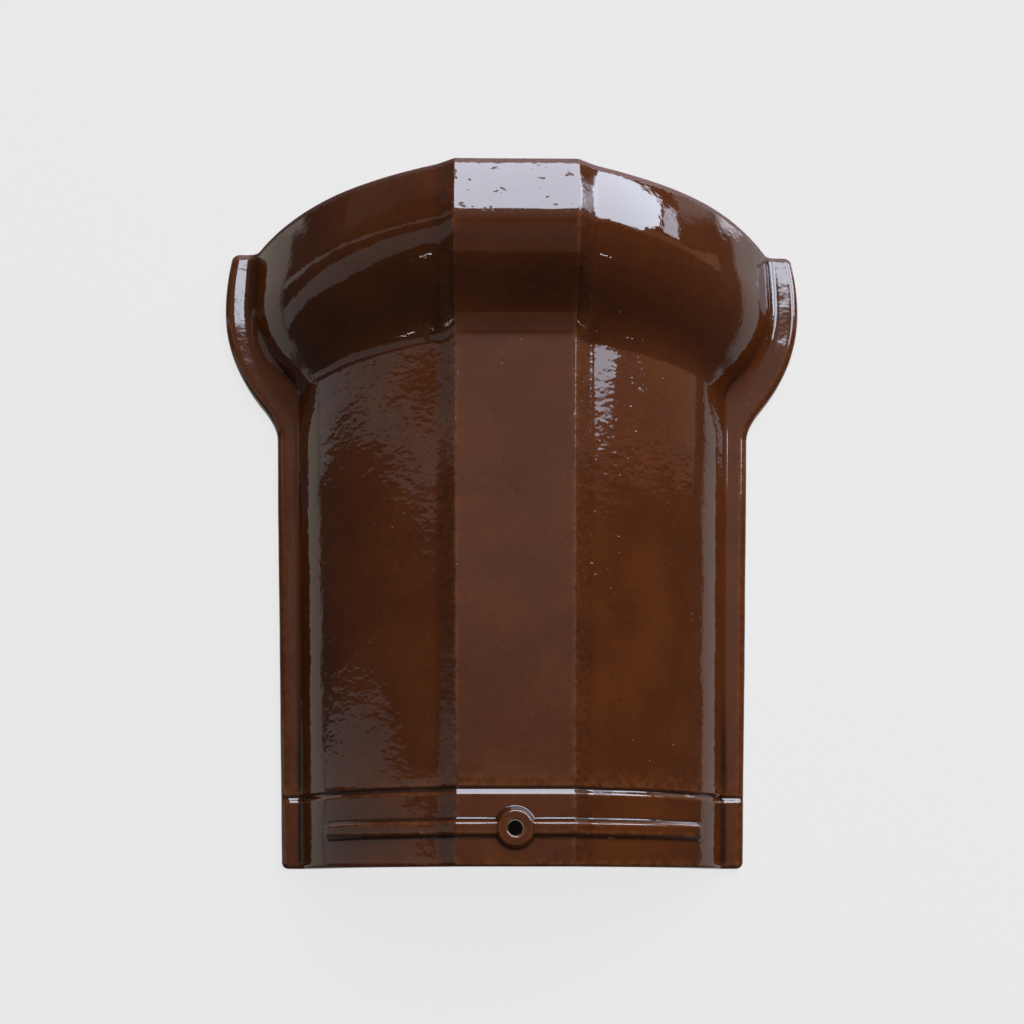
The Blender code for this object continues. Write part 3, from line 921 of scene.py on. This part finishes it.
def past(value, line, soft=0.012):
    """0 where the value is below the line, 1 where it is above."""
    return between(tree, maths(tree, "SUBTRACT", value, line), -soft, soft)


def short(value, line, soft=0.012):
    """1 where the value is below the line, 0 where it is above."""
    return between(tree, maths(tree, "SUBTRACT", value, line), soft, -soft)


def both(first, second):
    """1 only where both masks are."""
    return maths(tree, "MULTIPLY", first, second)


def slanted(start, gain):
    """A line across the fisheye picture that isn't level."""
    return maths(tree, "ADD", maths(tree, "MULTIPLY", over, gain), start)


def patch(west_side, east_side, south_side, north_side, soft=0.02):
    """1 inside a box of the fisheye picture of the room, 0 outside."""
    return both(both(past(over, west_side, soft), short(over, east_side, soft)),
                both(past(along, south_side, soft), short(along, north_side, soft)))


def grey(value):
    return (value, value, value, 1.0)


print("the room is drawn in a picture of", 2, "by", 2, "units, zenith in the middle")

# %% Walls, ceiling and floor as the glaze mirrors them
eastern = between(tree, east, -0.2, 0.2)
room = mix(tree, eastern, grey(0.05), grey(0.045))
room = mix(tree, patch(-1.1, -0.42, 0.40, 0.80, 0.03), room, grey(0.13))
level = between(tree, along, -0.20, -0.08, 0.19, 0.08)
climb = between(tree, along, -0.08, 0.14, 0.0, 0.38)
level = maths(tree, "ADD", level, both(climb, between(tree, over, -0.09, -0.05, 0.2, 1.0)))
ceiling = add(tree, "ShaderNodeCombineColor", {0: level, 1: level, 2: level}).outputs[0]
ceiling = mix(tree, short(along, -0.50, 0.05), ceiling, (0.36, 0.19, 0.12, 1.0))
room = mix(tree, patch(-0.38, 0.38, -0.64, 0.62), room, ceiling)

near = mix(tree, eastern, (0.44, 0.40, 0.36, 1.0), grey(0.46))
near = mix(tree, short(north, -0.28, 0.06), near, grey(0.10))
low = mix(tree, short(up, -0.45, 0.03), grey(0.05), near)
low = mix(tree, both(past(north, 0.50, 0.04), eastern), low, grey(0.7))
bright = mix(tree, eastern, grey(0.6), (2.8, 2.85, 3.2, 1.0))
low = mix(tree, both(past(north, 0.46, 0.02), short(up, -0.36, 0.05)), low, bright)
middle = both(past(east, -0.15, 0.05), short(east, 0.40, 0.05))
low = mix(tree, both(past(north, 0.76, 0.04), middle), low, (4.0, 4.2, 4.6, 1.0))
room = mix(tree, short(up, 0.0, 0.01), room, low)

above = past(up, -0.44, 0.03)
streak = patch(-1.1, -0.39, slanted(0.004, -0.264), slanted(0.049, -0.264), 0.008)
room = mix(tree, both(above, streak), room, grey(0.46))
south_edge = between(tree, up, -0.25, 0.10, -0.09, -0.25)
north_edge = maths(tree, "MINIMUM", slanted(-0.106, -0.23), slanted(-0.018, -0.10))
west_wall = patch(-1.1, -0.40, south_edge, north_edge, 0.008)
room = mix(tree, both(above, west_wall), room, grey(0.40))
east_wall = patch(0.38, 1.1, slanted(0.057, 0.17), 0.30, 0.014)
room = mix(tree, both(past(up, -0.28, 0.03), east_wall), room, (0.50, 0.29, 0.21, 1.0))
print("walls, ceiling and floor take", len(tree.nodes), "nodes")

# %% Window and small lamps as the glaze mirrors them
slope = maths(tree, "DIVIDE", up, maths(tree, "MAXIMUM", north, 0.01))
turned_east = maths(tree, "DIVIDE", east, maths(tree, "MAXIMUM", north, 0.01))
top = past(slope, between(tree, turned_east, 0.0, 1.6, 0.60, 0.18), 0.03)
foot = maths(tree, "MULTIPLY", maths(tree, "ABSOLUTE", over, 0.0), 0.30)
foot = maths(tree, "ADD", foot, 0.165)
foot = maths(tree, "ADD", foot, between(tree, over, 0.15, 0.38, 0.0, -0.135))
corner_line = maths(tree, "MAXIMUM", slanted(-0.704, 1.46), 0.215)
step_up = past(over, 0.482)
foot = both(maths(tree, "SUBTRACT", 1.0, step_up), foot)
foot = maths(tree, "ADD", foot, both(step_up, corner_line))
sides = both(past(over, -0.098, 0.006), short(over, 0.742, 0.006))
pane = both(both(top, past(along, foot, 0.006)), sides)
dimmer = both(past(over, 0.38), short(over, 0.482))
sky = mix(tree, dimmer, (9.8, 11.0, 13.0, 1.0), (4.6, 5.1, 6.0, 1.0))
room = mix(tree, both(pane, past(north, 0.05)), room, sky)
last_pane = both(patch(0.762, 0.850, 0.340, 0.50, 0.008), past(up, 0.04, 0.02))
room = mix(tree, last_pane, room, (4.4, 4.8, 5.6, 1.0))

LAMPS = [(-0.67, -0.61, 0.43), (-0.62, -0.66, 0.42), (0.70, -0.58, 0.41), (0.39, -0.80, 0.46)]
LAMP_RADIUS, LAMP_CORE, LAMP_LEVEL = 0.016, 0.011, 15.0       # radians, radians, radiance
for direction in LAMPS:
    aim = Vector(direction).normalized()
    nearness = add(tree, "ShaderNodeVectorMath", {0: way, 1: tuple(aim)},
                   operation="DOT_PRODUCT").outputs["Value"]
    dot = between(tree, nearness, math.cos(LAMP_RADIUS), math.cos(LAMP_CORE))
    room = mix(tree, dot, room, grey(LAMP_LEVEL))
path = add(tree, "ShaderNodeLightPath")
seen = mix(tree, path.outputs["Is Glossy Ray"], grey(0.12), room)
seen = mix(tree, path.outputs["Is Camera Ray"], seen, colour("#E9E9E9"))
tree.links.new(seen, background.inputs["Color"])
world.cycles.sampling_method = "NONE"
bpy.context.scene.view_settings.view_transform = "Standard"
print("room nodes:", len(tree.nodes))

# %% [markdown]
# ## Camera
# The photo was taken from above, a little behind the tail. Its place, turn and lens were worked
# out from the tile itself: the known length and widths of the solid model against the same
# places in the picture.

# %% Camera
lens = bpy.data.cameras.new("camera")
lens.sensor_width = 36.0
lens.lens = 52.734
lens.clip_start = 0.01
camera = bpy.data.objects.new("camera", lens)
bpy.context.scene.collection.objects.link(camera)
down = Vector((-25.0, -380.0, -1500.0)).normalized()
sideways_z, turned = 0.016154, math.radians(-0.029)
flat_part = math.sqrt(1 - sideways_z ** 2)
right = Vector((flat_part * math.cos(turned), flat_part * math.sin(turned), sideways_z))
steep = (Vector((0, 0, 1)) - right * right.z).normalized()
ahead = steep.cross(right)
lift = -down.y / steep.z
upward = steep * lift + ahead * math.sqrt(1 - lift ** 2)
back = right.cross(upward)
turn = Matrix((right, upward, back)).transposed().to_4x4()
camera.matrix_world = Matrix.Translation((-0.0156, -0.2136, 0.942)) @ turn
bpy.context.scene.camera = camera
print("camera tilt", round(math.degrees(math.acos(back.z)), 2), "degrees from straight down")

# %% [markdown]
# ## Last step
# The looks must not change the size of the part. At the end the scene is brought up to date.

# %% Update the scene
bpy.context.view_layer.update()
